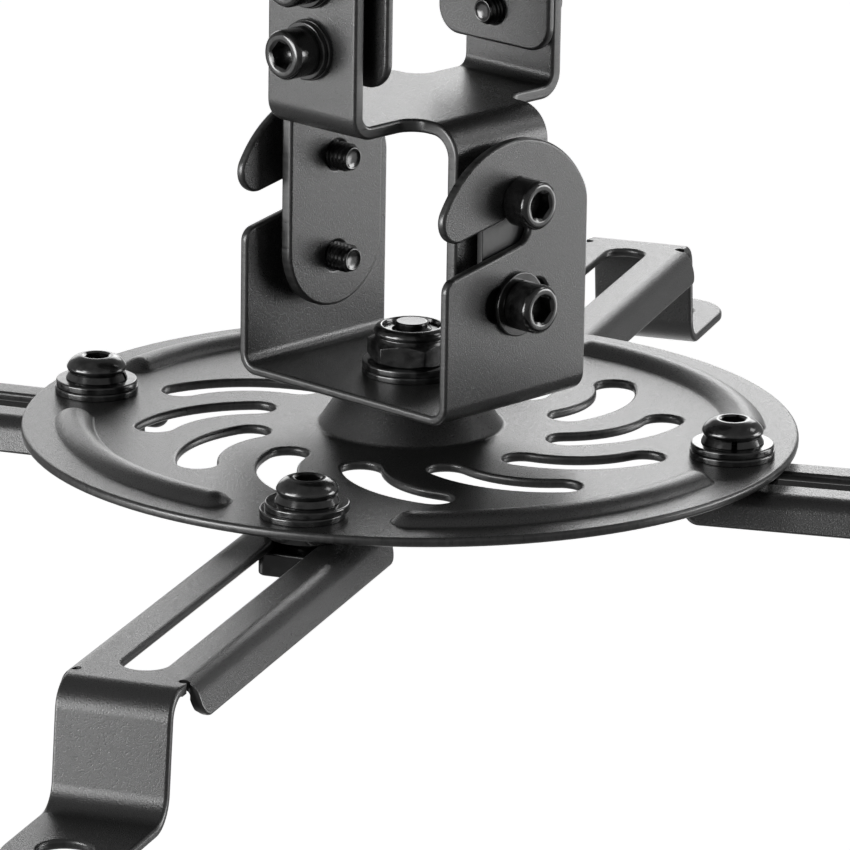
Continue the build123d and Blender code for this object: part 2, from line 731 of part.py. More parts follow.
slip_angle = radians(wide_washer_slip_angle)
for number, (corner, angle) in enumerate(arm_angles.items()):
    rim_angle = radians(plate_turn + 90 * number)
    seat = Vector(rim_circle_r * cos(rim_angle), rim_circle_r * sin(rim_angle), plate_top)
    slip = Vector(cos(slip_angle), sin(slip_angle)) * wide_washer_slip[corner]
    pull = Vector(cos(radians(angle)), sin(radians(angle))) * arm_out[corner]
    for title, blank, offset in (
        ("rim_screw", button_screw.part, Vector()),
        ("spring_washer", split_washer.part, Vector()),
        ("upper_washer", flat_washer, Vector(0, 0, rim_washer_t)),
        ("lower_washer", wide_washer, slip),
        ("under_washer", low_washer, Vector(0, 0, arm_top - plate_top)),
        ("clamp_nut", plate_nut.part, Vector()),
        ("arm", arm.part, pull + Vector(0, 0, arm_top - plate_top)),
    ):
        with BuildPart() as corner_piece:
            with Locations(Location(seat + offset, (0, 0, angle))):
                add(blank)
        corner_piece.part.label = f"{title}_{corner}"
        export_step(corner_piece.part, f"parts/{title}_{corner}.step")
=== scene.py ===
"""Looks of the projector ceiling mount: eased sheets, threaded hardware, finishes, camera and light."""
import json
from math import atan2, cos, floor, pi, radians, sin

import bmesh
import bpy
from mathutils import Matrix, Vector
from mathutils.bvhtree import BVHTree

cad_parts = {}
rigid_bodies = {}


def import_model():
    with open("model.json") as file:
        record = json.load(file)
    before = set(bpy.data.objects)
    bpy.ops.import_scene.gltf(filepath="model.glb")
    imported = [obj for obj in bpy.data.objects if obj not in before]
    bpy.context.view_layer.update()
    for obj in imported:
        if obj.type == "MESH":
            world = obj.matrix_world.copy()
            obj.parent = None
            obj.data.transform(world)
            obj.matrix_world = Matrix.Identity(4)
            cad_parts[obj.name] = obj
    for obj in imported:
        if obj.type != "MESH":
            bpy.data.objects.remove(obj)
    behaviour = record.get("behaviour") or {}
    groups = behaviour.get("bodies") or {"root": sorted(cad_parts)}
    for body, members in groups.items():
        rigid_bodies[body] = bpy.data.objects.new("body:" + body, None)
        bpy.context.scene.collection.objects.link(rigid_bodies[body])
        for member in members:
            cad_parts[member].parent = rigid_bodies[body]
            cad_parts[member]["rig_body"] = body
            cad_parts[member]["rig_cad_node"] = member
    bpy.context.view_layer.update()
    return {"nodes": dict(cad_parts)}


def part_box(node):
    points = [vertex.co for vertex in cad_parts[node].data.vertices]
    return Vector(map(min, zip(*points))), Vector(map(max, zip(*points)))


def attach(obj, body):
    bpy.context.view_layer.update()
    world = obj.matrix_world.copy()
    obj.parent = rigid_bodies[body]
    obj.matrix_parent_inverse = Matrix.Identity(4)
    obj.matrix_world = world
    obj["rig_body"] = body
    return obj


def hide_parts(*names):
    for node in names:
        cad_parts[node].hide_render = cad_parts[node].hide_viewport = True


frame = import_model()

MM = 0.001
CORNERS = ("right", "back", "left", "front")


def deselect():
    bpy.ops.object.select_all(action="DESELECT")


def take(piece):
    """Makes one object the only selected and active one."""
    deselect()
    piece.select_set(True)
    bpy.context.view_layer.objects.active = piece


def active():
    return bpy.context.view_layer.objects.active


def finish_with(piece, kind, **settings):
    """Adds one modifier and applies it."""
    take(piece)
    modifier = piece.modifiers.new(kind.lower(), kind)
    for name, value in settings.items():
        setattr(modifier, name, value)
    bpy.ops.object.modifier_apply(modifier=modifier.name)


# Shader helpers

def link(tree, source, target):
    tree.links.new(source, target)


def new_material(name):
    """A material with a Principled BSDF and an output, and nothing else."""
    material = bpy.data.materials.new(name)
    material.use_nodes = True
    tree = material.node_tree
    tree.nodes.clear()
    output = tree.nodes.new("ShaderNodeOutputMaterial")
    shader = tree.nodes.new("ShaderNodeBsdfPrincipled")
    link(tree, shader.outputs["BSDF"], output.inputs["Surface"])
    return material, tree, shader


def object_noise(tree, scale, detail, roughness, stretch=None):
    """Noise on Object coordinates. The scale is a socket or a number, and stretch scales each axis."""
    place = tree.nodes.new("ShaderNodeTexCoord")
    noise = tree.nodes.new("ShaderNodeTexNoise")
    noise.inputs["Detail"].default_value = detail
    noise.inputs["Roughness"].default_value = roughness
    source = place.outputs["Object"]
    if stretch:
        mapping = tree.nodes.new("ShaderNodeMapping")
        mapping.inputs["Scale"].default_value = stretch
        link(tree, source, mapping.inputs["Vector"])
        source = mapping.outputs["Vector"]
    link(tree, source, noise.inputs["Vector"])
    if isinstance(scale, (int, float)):
        noise.inputs["Scale"].default_value = scale
    else:
        link(tree, scale, noise.inputs["Scale"])
    return noise.outputs["Fac"]


def mix_values(tree, factor, first, second):
    mix = tree.nodes.new("ShaderNodeMix")
    mix.inputs["Factor"].default_value = factor
    link(tree, first, mix.inputs["A"])
    link(tree, second, mix.inputs["B"])
    return mix.outputs["Result"]


def mix_colour(tree, mask, dark, pale):
    """Grey between two tones by a mask."""
    mix = tree.nodes.new("ShaderNodeMix")
    mix.data_type = "RGBA"
    mix.inputs["A"].default_value = (dark, dark, dark, 1)
    mix.inputs["B"].default_value = (pale, pale, pale, 1)
    link(tree, mask, mix.inputs["Factor"])
    return mix.outputs["Result"]


def spread(tree, value, low, high, start=0.3, stop=0.7):
    """Maps a noise value, which keeps near one half, to a range."""
    span = tree.nodes.new("ShaderNodeMapRange")
    span.inputs["From Min"].default_value = start
    span.inputs["From Max"].default_value = stop
    span.inputs["To Min"].default_value = low
    span.inputs["To Max"].default_value = high
    link(tree, value, span.inputs["Value"])
    return span.outputs["Result"]


def bump(tree, shader, height, strength, depth):
    relief = tree.nodes.new("ShaderNodeBump")
    relief.inputs["Strength"].default_value = strength
    relief.inputs["Distance"].default_value = depth
    link(tree, height, relief.inputs["Height"])
    link(tree, relief.outputs["Normal"], shader.inputs["Normal"])


PEEL_SHARE = 0.55
STREAK_SHARE = 0.7
SHEET_GRAIN = (6500, 3400)  # scales of the fine grain and of the orange peel
STRIP_GRAIN = (2600, 700)
COAT_BUMP, CUT_BUMP, OXIDE_BUMP = 0.09 * MM, 0.06 * MM, 0.04 * MM
COAT_SPECULAR = 1.0
OXIDE_SPECULAR = 0.95


def make_coat_group():
    """Powder coat: fine grain over a wider orange peel as a height, and slow changes of tone as a mask."""
    group = bpy.data.node_groups.new("coat_grain", "ShaderNodeTree")
    face = group.interface
    face.new_socket("Grain Scale", in_out="INPUT", socket_type="NodeSocketFloat")
    face.new_socket("Peel Scale", in_out="INPUT", socket_type="NodeSocketFloat")
    face.new_socket("Height", in_out="OUTPUT", socket_type="NodeSocketFloat")
    face.new_socket("Tone", in_out="OUTPUT", socket_type="NodeSocketFloat")
    inside = group.nodes.new("NodeGroupInput")
    outside = group.nodes.new("NodeGroupOutput")
    grain = object_noise(group, inside.outputs["Grain Scale"], detail=2.0, roughness=0.6)
    peel = object_noise(group, inside.outputs["Peel Scale"], detail=1.0, roughness=0.5)
    slow = object_noise(group, scale=45.0, detail=2.0, roughness=0.5)
    link(group, mix_values(group, PEEL_SHARE, grain, peel), outside.inputs["Height"])
    link(group, slow, outside.inputs["Tone"])
    return group


coat_group = make_coat_group()


def coat_of(tree, grain_scale, peel_scale):
    coat = tree.nodes.new("ShaderNodeGroup")
    coat.node_tree = coat_group
    coat.inputs["Grain Scale"].default_value = grain_scale
    coat.inputs["Peel Scale"].default_value = peel_scale
    return coat


def make_coat(name, tones, roughness, scales, relief):
    """Powder-coated sheet."""
    material, tree, shader = new_material(name)
    coat = coat_of(tree, *scales)
    tone = spread(tree, coat.outputs["Tone"], 0, 1)
    link(tree, mix_colour(tree, tone, *tones), shader.inputs["Base Color"])
    link(tree, spread(tree, coat.outputs["Height"], *roughness), shader.inputs["Roughness"])
    bump(tree, shader, coat.outputs["Height"], relief, COAT_BUMP)
    shader.inputs["Specular IOR Level"].default_value = COAT_SPECULAR
    return material


coated_sheet = make_coat(
    "coated_sheet", tones=(0.02, 0.026), roughness=(0.24, 0.36), scales=SHEET_GRAIN, relief=0.8,
)
friction_finish = make_coat(
    "friction_strip", tones=(0.012, 0.02), roughness=(0.42, 0.52), scales=STRIP_GRAIN, relief=0.25,
)


def make_cut_edge(name, stretch):
    """Sheared edge of the sheet under the coat: short streaks across its thickness."""
    material, tree, shader = new_material(name)
    coat = coat_of(tree, *SHEET_GRAIN)
    streaks = object_noise(tree, scale=1000, detail=2.0, roughness=0.65, stretch=stretch)
    both = mix_values(tree, STREAK_SHARE, coat.outputs["Height"], streaks)
    tone = spread(tree, streaks, 0, 1)
    link(tree, mix_colour(tree, tone, dark=0.012, pale=0.035), shader.inputs["Base Color"])
    link(tree, spread(tree, both, low=0.26, high=0.4), shader.inputs["Roughness"])
    bump(tree, shader, both, strength=0.5, depth=CUT_BUMP)
    shader.inputs["Specular IOR Level"].default_value = COAT_SPECULAR
    return material


cut_edge_level = make_cut_edge("cut_edge_level", (1.6, 1.6, 0.25))
cut_edge_upright = make_cut_edge("cut_edge_upright", (0.25, 0.25, 1.6))


def make_oxide():
    """Black oxide on steel screws and washers, oiled and glossy, with rubbed patches."""
    material, tree, shader = new_material("black_oxide")
    tone = object_noise(tree, scale=420, detail=3.0, roughness=0.6)
    fine = object_noise(tree, scale=2600, detail=2.0, roughness=0.6)
    rubbed = spread(tree, tone, 0, 1, start=0.42, stop=0.75)
    link(tree, mix_colour(tree, rubbed, dark=0.004, pale=0.03), shader.inputs["Base Color"])
    link(tree, spread(tree, tone, low=0.12, high=0.24), shader.inputs["Roughness"])
    bump(tree, shader, fine, strength=0.08, depth=OXIDE_BUMP)
    shader.inputs["Specular IOR Level"].default_value = OXIDE_SPECULAR
    return material


black_oxide = make_oxide()

LEVEL_SHEETS = ["ceiling_plate", "spider_plate"] + [f"arm_{corner}" for corner in CORNERS]
UPRIGHT_SHEETS = ["ceiling_yoke", "cross_bracket", "tilt_bracket"]


def dress(piece, *materials):
    piece.data.materials.clear()
    for material in materials:
        piece.data.materials.append(material)


# Pieces that stand for CAD nodes: sizes in millimetres unless MM is in them
CAD_MERGE = 0.002 * MM
PIECE_MERGE = 0.001 * MM
FLAT_TURN = radians(0.3)  # faces that turn less than this become one
SHARP_TURN = radians(40)  # edges that turn more than this are eased
EASED_SMOOTH, TURNED_SMOOTH = 40, 36  # degrees up to which the shading stays smooth
SHEET_EASE, STRIP_EASE, CLAMP_NUT_EASE = 0.7, 0.2, 0.6
RAY_START = 0.01 * MM
CUT_FACTOR = 1.4  # a face with this many sheet thicknesses of metal behind it is a cut one
SHEET_T = {"ceiling_plate": 3.0, "ceiling_yoke": 2.1, "cross_bracket": 2.8}
OTHER_SHEET_T = 2.0
ARM_ANGLE = {"right": 29.6, "back": 115.7, "left": 205.2, "front": 294.5}
ARM_OUT = {"right": 4.0, "back": 3.8, "left": 0.0, "front": 0.0}
NOTCH_ALONG, NOTCH_ASIDE = 93.8, 10.72  # relief notches of an arm, from its clamp screw
NOTCH_REACH = 2.0  # edges nearer to a notch than this stay sharp


def node_box(node):
    """Lowest and highest corners of a node in millimetres."""
    return [Vector(corner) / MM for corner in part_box(node)]


def stand_for(piece, node):
    """The piece rides with the node's body and replaces the node, which is hidden."""
    piece.name = f"{node}_dressed"
    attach(piece, frame["nodes"][node]["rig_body"])
    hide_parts(node)


def smooth(piece, angle):
    take(piece)
    bpy.ops.object.shade_smooth_by_angle(angle=radians(angle))
    finish_with(piece, "WEIGHTED_NORMAL", keep_sharp=True, weight=80)


def loose_copy(node):
    """Merged copy of a node's mesh with flat faces in one piece, free of the frame's marks."""
    take(frame["nodes"][node])
    bpy.ops.object.duplicate()
    piece = active()
    piece.parent = None
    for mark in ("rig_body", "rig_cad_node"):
        del piece[mark]
    take(piece)
    bpy.ops.mesh.customdata_custom_splitnormals_clear()
    bpy.ops.object.mode_set(mode="EDIT")
    bpy.ops.mesh.select_all(action="SELECT")
    bpy.ops.mesh.remove_doubles(threshold=CAD_MERGE)
    bpy.ops.mesh.dissolve_limited(angle_limit=FLAT_TURN)
    bpy.ops.object.mode_set(mode="OBJECT")
    return piece


def ease_edges(piece, ease, notches=()):
    """Rounds the sharp edges, as the coat leaves them, but not those of small notches."""
    mesh = bmesh.new()
    mesh.from_mesh(piece.data)
    weight = mesh.edges.layers.float.new("bevel_weight_edge")
    for edge in mesh.edges:
        turn = edge.calc_face_angle(0)
        middle = (edge.verts[0].co + edge.verts[1].co) / 2
        clear = all((middle.xy - notch).length > NOTCH_REACH * MM for notch in notches)
        edge[weight] = float(turn > SHARP_TURN and clear)
    mesh.to_mesh(piece.data)
    mesh.free()
    finish_with(
        piece, "BEVEL", width=ease * MM, segments=3, limit_method="WEIGHT",
        use_clamp_overlap=False, harden_normals=False, miter_outer="MITER_ARC",
    )
    smooth(piece, EASED_SMOOTH)


def mark_cut_faces(piece, sheet):
    """Gives the second material to cut edges: faces with more metal behind them than the sheet is thick."""
    mesh = bmesh.new()
    mesh.from_mesh(piece.data)
    inside = BVHTree.FromBMesh(mesh)
    largest = {}
    for corners in mesh.calc_loop_triangles():
        a, b, c = (corner.vert.co for corner in corners)
        area = (b - a).cross(c - a).length
        face = corners[0].face.index
        if area > largest.get(face, (0, None))[0]:
            largest[face] = (area, (a + b + c) / 3)
    for face in mesh.faces:
        spot = largest[face.index][1]
        depth = inside.ray_cast(spot - face.normal * RAY_START, -face.normal)[3]
        face.material_index = int(depth is None or depth > CUT_FACTOR * sheet * MM)
    mesh.to_mesh(piece.data)
    mesh.free()


def arm_notches(corner):
    """Middles of the two relief notches of an arm, seen from above."""
    low, high = node_box(f"rim_screw_{corner}")
    turn = Matrix.Rotation(radians(ARM_ANGLE[corner]), 2)
    screw = (low.xy + high.xy) / 2
    along = NOTCH_ALONG + ARM_OUT[corner]
    return [(screw + turn @ Vector((along, side * NOTCH_ASIDE))) * MM for side in (1, -1)]


for sheet_node in LEVEL_SHEETS + UPRIGHT_SHEETS:
    sheet_piece = loose_copy(sheet_node)
    cut_edge = cut_edge_level if sheet_node in LEVEL_SHEETS else cut_edge_upright
    dress(sheet_piece, coated_sheet, cut_edge)
    mark_cut_faces(sheet_piece, SHEET_T.get(sheet_node, OTHER_SHEET_T))
    arm_corner = sheet_node.removeprefix("arm_")
    notches = arm_notches(arm_corner) if arm_corner in CORNERS else ()
    ease_edges(sheet_piece, SHEET_EASE, notches)
    stand_for(sheet_piece, sheet_node)

strips = loose_copy("friction_strips")
dress(strips, friction_finish)
ease_edges(strips, STRIP_EASE)
stand_for(strips, "friction_strips")


# Turned hardware: each shape is modelled once along Z, with its seat at height 0, then copied to its places
M6_THREAD = (2.95, 2.42, 1.0)  # outer radius, root radius and pitch
M8_THREAD = (3.95, 3.3, 1.25)
HALF_ROOT, FLANK, CREST = 0.12, 0.32, 0.12  # shares of a thread's pitch
M6_HOLE, M8_HOLE = 3.05, 4.05
CAP_HEAD_R, CAP_HEAD_H = 5.0, 6.0
CAP_SOCKET, BUTTON_SOCKET = 5.06, 4.6  # across the flats
WASHER_SIDES = 64


def hexagon_reach(angle, across):
    """Distance from a hexagon's middle to its outline, where a flat faces angle 0."""
    sixth = pi / 3
    return across / 2 / cos((angle + sixth / 2) % sixth - sixth / 2)


def set_ring(piece, step):
    """Puts the selected ring at a round step (radius, height) or a hexagonal one (across, height, slope).

    The slope lowers a hexagon's corners, as a chamfer does.
    """
    mesh = bmesh.from_edit_mesh(piece.data)
    for point in [point for point in mesh.verts if point.select]:
        angle = atan2(point.co.y, point.co.x)
        reach, height = step[:2]
        if len(step) == 3:
            reach = hexagon_reach(angle, step[0])
            height -= step[2] * (reach - step[0] / 2)
        point.co = Vector((reach * cos(angle), reach * sin(angle), height)) * MM
    bmesh.update_edit_mesh(piece.data)


def extrude_rings(piece, steps):
    for step in steps:
        bpy.ops.mesh.extrude_region_move(TRANSFORM_OT_translate={"value": (0, 0, 0)})
        set_ring(piece, step)


def close_up():
    """Merges doubles, fills the open ends and points the faces outwards, from edit mode to object mode."""
    bpy.ops.mesh.select_all(action="SELECT")
    bpy.ops.mesh.remove_doubles(threshold=PIECE_MERGE)
    bpy.ops.mesh.fill_holes(sides=0)
    bpy.ops.mesh.select_all(action="SELECT")
    bpy.ops.mesh.normals_make_consistent(inside=False)
    bpy.ops.object.mode_set(mode="OBJECT")


def turned(steps, sides=48, ring=False):
    """Piece turned about Z: a circle extruded through its steps. A ring closes on its first step."""
    deselect()
    bpy.ops.mesh.primitive_circle_add(vertices=sides, radius=MM, fill_type="NOTHING", enter_editmode=True)
    piece = active()
    bpy.ops.mesh.select_all(action="SELECT")
    set_ring(piece, steps[0])
    extrude_rings(piece, steps[1:] + (steps[:1] if ring else []))
    close_up()
    return piece


def select_open_end(piece, low):
    """Selects the open edge loop at the lower or upper end of a thread."""
    bpy.ops.mesh.select_all(action="DESELECT")
    bpy.ops.mesh.select_non_manifold(
        extend=False, use_wire=False, use_boundary=True,
        use_multi_face=False, use_non_contiguous=False, use_verts=False,
    )
    mesh = bmesh.from_edit_mesh(piece.data)
    heights = [point.co.z for point in mesh.verts]
    middle = (min(heights) + max(heights)) / 2
    for point in mesh.verts:
        if (point.co.z < middle) != low:
            point.select = False
    mesh.select_flush_mode()
    bmesh.update_edit_mesh(piece.data)


def threaded_rod(major, minor, pitch, low, high, dish=0.3, sides=30):
    """Threaded rod between two heights. Its thread runs out at the lower end, which is dished."""
    chamfer = 0.35
    end_r = minor + 0.12
    first_r = end_r + 0.15  # largest radius where the thread starts
    run_out = 0.7  # radius that the thread gains per height from there
    start = low + chamfer
    deselect()
    bpy.ops.mesh.primitive_plane_add(size=MM, enter_editmode=True)
    piece = active()
    bpy.ops.mesh.select_all(action="SELECT")
    bpy.ops.mesh.merge(type="CENTER")
    bpy.ops.transform.translate(value=(minor * MM, 0, start * MM))
    depth = major - minor
    for out, rise in ((0, HALF_ROOT), (depth, FLANK), (0, CREST), (-depth, FLANK), (0, HALF_ROOT)):
        bpy.ops.mesh.extrude_region_move(TRANSFORM_OT_translate={"value": (out * MM, 0, rise * pitch * MM)})
    bpy.ops.object.mode_set(mode="OBJECT")
    turns = floor((high - start) / pitch)
    finish_with(
        piece, "SCREW", axis="Z", angle=2 * pi, screw_offset=pitch * MM, iterations=turns,
        steps=sides, render_steps=sides, use_normal_calculate=True,
    )
    for point in piece.data.vertices:
        reach = (point.co.x ** 2 + point.co.y ** 2) ** 0.5
        most = first_r * MM + (point.co.z - start * MM) * run_out
        if reach > most:
            point.co.x *= most / reach
            point.co.y *= most / reach
    bpy.ops.object.mode_set(mode="EDIT")
    bpy.ops.mesh.select_all(action="SELECT")
    bpy.ops.mesh.remove_doubles(threshold=PIECE_MERGE)
    select_open_end(piece, True)
    extrude_rings(piece, [(end_r, start)])
    bpy.ops.mesh.remove_doubles(threshold=PIECE_MERGE)
    extrude_rings(piece, [
        (end_r - 0.2, low + 0.06), (end_r - 0.3, low), (end_r - 0.5, low),
        (end_r - 0.64, low + 0.25 * dish), (end_r * 0.5, low + 0.8 * dish), (0.1, low + dish),
    ])
    select_open_end(piece, False)
    extrude_rings(piece, [(minor, high)])
    bpy.ops.mesh.remove_doubles(threshold=PIECE_MERGE)
    close_up()
    return piece


def joined(pieces):
    take(pieces[0])
    for piece in pieces:
        piece.select_set(True)
    if len(pieces) > 1:
        bpy.ops.object.join()
    return active()


def cap_screw(length):
    """Socket cap screw: eased rims, a countersunk hexagon socket and a threaded shank."""
    head = turned([
        (4.5, 0), (4.82, 0.1), (CAP_HEAD_R, 0.4), (CAP_HEAD_R, 4.85),
        (4.95, 5.2), (4.81, 5.52), (4.58, 5.78), (4.28, 5.94),
        (3.95, CAP_HEAD_H), (3.3, CAP_HEAD_H), (3.15, 5.95), (CAP_SOCKET, 5.66, 0), (CAP_SOCKET, 2.8, 0),
        (1.6, 2.75), (0.12, 2.2),
    ])
    screw = joined([head, threaded_rod(*M6_THREAD, -length, 0.8)])
    smooth(screw, TURNED_SMOOTH)
    return screw


def button_screw(length):
    """Button-head screw: dome that draws in to its seat, flat rim round the socket and a threaded shank."""
    head = turned([
        (5.5, 0), (5.74, 0.06), (5.98, 0.36), (6.15, 0.74), (6.2, 1.08), (6.0, 1.55), (5.71, 2.0),
        (5.37, 2.39), (4.97, 2.72), (4.53, 3.0), (4.06, 3.2), (3.56, 3.34), (3.05, 3.4), (2.86, 3.36),
        (BUTTON_SOCKET, 3.1, 0), (BUTTON_SOCKET, 0.95, 0), (1.4, 0.9), (0.12, 0.5),
    ])
    screw = joined([head, threaded_rod(*M6_THREAD, -length, 0.3)])
    smooth(screw, TURNED_SMOOTH)
    return screw


def slit_through(piece, sides):
    """Takes two of a ring's sides out and closes the ends."""
    take(piece)
    bpy.ops.object.mode_set(mode="EDIT")
    bpy.ops.mesh.select_all(action="DESELECT")
    mesh = bmesh.from_edit_mesh(piece.data)
    for face in mesh.faces:
        middle = face.calc_center_median()
        face.select = abs(atan2(middle.y, middle.x)) < 2 * pi / sides
    bmesh.update_edit_mesh(piece.data)
    bpy.ops.mesh.delete(type="FACE")
    close_up()


def washer(outer, inner, thick, slit=False):
    """Stamped washer of two radii and a thickness, its upper rim rounder. A lock washer has a slit."""
    top = min(0.42, 0.32 * thick)
    low = min(0.2, 0.16 * thick)
    piece = turned([
        (inner, low), (inner + low, 0), (outer - low, 0), (outer - 0.3 * low, 0.3 * low), (outer, low),
        (outer, thick - top), (outer - 0.1 * top, thick - 0.55 * top),
        (outer - 0.4 * top, thick - 0.15 * top), (outer - top, thick),
        (inner + low, thick), (inner, thick - low),
    ], sides=WASHER_SIDES, ring=True)
    if slit:
        slit_through(piece, WASHER_SIDES)
    smooth(piece, TURNED_SMOOTH)
    return piece


def spring_washer():
    """Split washer under a rim screw, flared towards its foot."""
    piece = turned([
        (M6_HOLE, 0.2), (3.25, 0), (6.2, 0), (6.32, 0.06), (6.36, 0.2), (5.8, 1.36), (5.72, 1.46), (5.6, 1.5),
        (3.25, 1.5), (M6_HOLE, 1.3),
    ], sides=WASHER_SIDES, ring=True)
    slit_through(piece, WASHER_SIDES)
    smooth(piece, TURNED_SMOOTH)
    return piece


def seat(place, outward, spin=0):
    """Puts a piece's seat at a place, in millimetres, with its axis along outward."""
    turn = Vector(outward).to_track_quat("Z", "Y").to_matrix().to_4x4()
    return Matrix.Translation(Vector(place) * MM) @ turn @ Matrix.Rotation(radians(spin), 4, "Z")


def furnish(node, shape, places):
    """Copies of one shape at its places, joined to a piece that stands for a node."""
    copies = []
    for place in places:
        take(shape)
        bpy.ops.object.duplicate()
        copies.append(active())
        copies[-1].data.transform(place)
    piece = joined(copies)
    dress(piece, black_oxide)
    stand_for(piece, node)


def both_sides(axis, distance, heights, spins):
    """Seats on both sides of the middle, facing outwards along X or Y."""
    places = []
    for side in (1, -1):
        for height, spin in zip(heights, spins):
            out = Vector((side, 0, 0)) if axis == "X" else Vector((0, side, 0))
            places.append(seat(out * distance + Vector((0, 0, height)), out, spin * side))
    return places


# Roll joint
SPACER_T, ROLL_WASHER_T = 2.8, 1.2
ROLL_SCREW_L = 13.2
ROLL_SPINS = (100, 250)  # degrees that the sockets and slits are turned, below and above
low, high = node_box("roll_screws")
roll_heights = (low.z + CAP_HEAD_R, high.z - CAP_HEAD_R)
roll_shapes = {
    "roll_spacers": (washer(7.0, M6_HOLE, SPACER_T), node_box("roll_spacers")[1].y - SPACER_T),
    "roll_flat_washers": (
        washer(6.2, M6_HOLE, ROLL_WASHER_T), node_box("roll_flat_washers")[1].y - ROLL_WASHER_T,
    ),
    "roll_lock_washers": (
        washer(5.9, M6_HOLE, ROLL_WASHER_T, slit=True), node_box("roll_lock_washers")[1].y - ROLL_WASHER_T,
    ),
    "roll_screws": (cap_screw(ROLL_SCREW_L), high.y - CAP_HEAD_H),
}
for node, (shape, distance) in roll_shapes.items():
    furnish(node, shape, both_sides("Y", distance, roll_heights, ROLL_SPINS))
    bpy.data.objects.remove(shape)

# Tilt joint
DISH_WASHER_T, CLAMP_WASHER_T = 1.1, 1.0
PIVOT_SCREW_L, CLAMP_SCREW_L = 12.0, 13.4
TILT_SPINS = (12, 35)  # degrees, at the first and second height of a node
low, high = node_box("tilt_pivot_screws")
tilt_height = (low.z + high.z) / 2
pivot_seat = high.x - CAP_HEAD_H
low, high = node_box("tilt_clamp_screws")
clamp_height = (low.z + high.z) / 2
clamp_seat = high.x - CAP_HEAD_H
tilt_shapes = {
    "dish_washers": (
        washer(6.5, M6_HOLE, DISH_WASHER_T), node_box("dish_washers")[1].x - DISH_WASHER_T,
        (tilt_height, clamp_height),
    ),
    "tilt_pivot_screws": (cap_screw(PIVOT_SCREW_L), pivot_seat, (tilt_height,)),
    "tilt_clamp_washers": (
        washer(6.6, M6_HOLE, CLAMP_WASHER_T), clamp_seat - CLAMP_WASHER_T, (clamp_height,),
    ),
    "tilt_clamp_screws": (cap_screw(CLAMP_SCREW_L), clamp_seat, (clamp_height,)),
}
for node, (shape, distance, heights) in tilt_shapes.items():
    furnish(node, shape, both_sides("X", distance, heights, TILT_SPINS))
    bpy.data.objects.remove(shape)

# Clamps at the plate's rim
UPWARD = (0, 0, 1)
RIM_SCREW_L, BUTTON_H = 16.4, 3.4
SPRING_WASHER_T, RIM_WASHER_T, UNDER_WASHER_T = 1.5, 1.45, 1.8
LOWER_WASHER_HOLE = 4.2
CORNER_SPIN = 37  # degrees that a corner's sockets and slits are turned from those of the one before
rim_shapes = {  # each shape, the height of its top above its seat, and its turn in degrees
    "rim_screw": (button_screw(RIM_SCREW_L), BUTTON_H, 20),
    "spring_washer": (spring_washer(), SPRING_WASHER_T, 135),
    "upper_washer": (washer(8.4, M6_HOLE, RIM_WASHER_T), RIM_WASHER_T, 0),
    "lower_washer": (washer(8.6, LOWER_WASHER_HOLE, RIM_WASHER_T), RIM_WASHER_T, 0),
    "under_washer": (washer(8.5, M6_HOLE, UNDER_WASHER_T), UNDER_WASHER_T, 0),
}
for title, (shape, above_seat, spin) in rim_shapes.items():
    for number, corner in enumerate(CORNERS):
        rim_node = f"{title}_{corner}"
        low, high = node_box(rim_node)
        middle = (low + high) / 2
        rim_seat = (middle.x, middle.y, high.z - above_seat)
        furnish(rim_node, shape, [seat(rim_seat, UPWARD, spin + CORNER_SPIN * number)])
    bpy.data.objects.remove(shape)

for corner in CORNERS:
    nut = loose_copy(f"clamp_nut_{corner}")
    dress(nut, black_oxide)
    ease_edges(nut, CLAMP_NUT_EASE)
    stand_for(nut, f"clamp_nut_{corner}")

# Swivel joint: its nut and washers are larger than their solids, as the photograph shows them
NUT_ACROSS, BOLT_ACROSS = 16.0, 13.0
NUT_TURN, BOLT_TURN = 1, 30  # degrees
SWIVEL_WASHER_T = 1.4
SWIVEL_SIDES = 96
NUT_EASE, NUT_SHARP = 0.14 * MM, radians(50)
swivel_washer = washer(10.0, M8_HOLE, SWIVEL_WASHER_T)
for node in ("swivel_lower_washer", "swivel_upper_washer"):
    furnish(node, swivel_washer, [seat((0, 0, node_box(node)[0].z), UPWARD)])
bpy.data.objects.remove(swivel_washer)

lock_nut = turned([
    (4.02, 0.3), (4.4, 0), (7.7, 0), (NUT_ACROSS, 0.12, -0.5), (NUT_ACROSS, 4.35, 0.5), (7.85, 4.5),
    (7.62, 4.8), (7.42, 5.1), (7.36, 5.3), (7.48, 5.46), (7.66, 5.62), (7.74, 5.85), (7.7, 6.2),
    (7.52, 6.6), (7.2, 6.93), (6.8, 7.17), (6.45, 7.28), (6.25, 7.3), (6.05, 7.24), (5.95, 7.05),
    (5.93, 6.45), (4.02, 6.4),
], sides=SWIVEL_SIDES, ring=True)
finish_with(lock_nut, "BEVEL", width=NUT_EASE, segments=2, limit_method="ANGLE", angle_limit=NUT_SHARP)
smooth(lock_nut, TURNED_SMOOTH)
nut_low = node_box("swivel_nut")[0].z
furnish("swivel_nut", lock_nut, [seat((0, 0, nut_low), UPWARD, NUT_TURN)])
bpy.data.objects.remove(lock_nut)

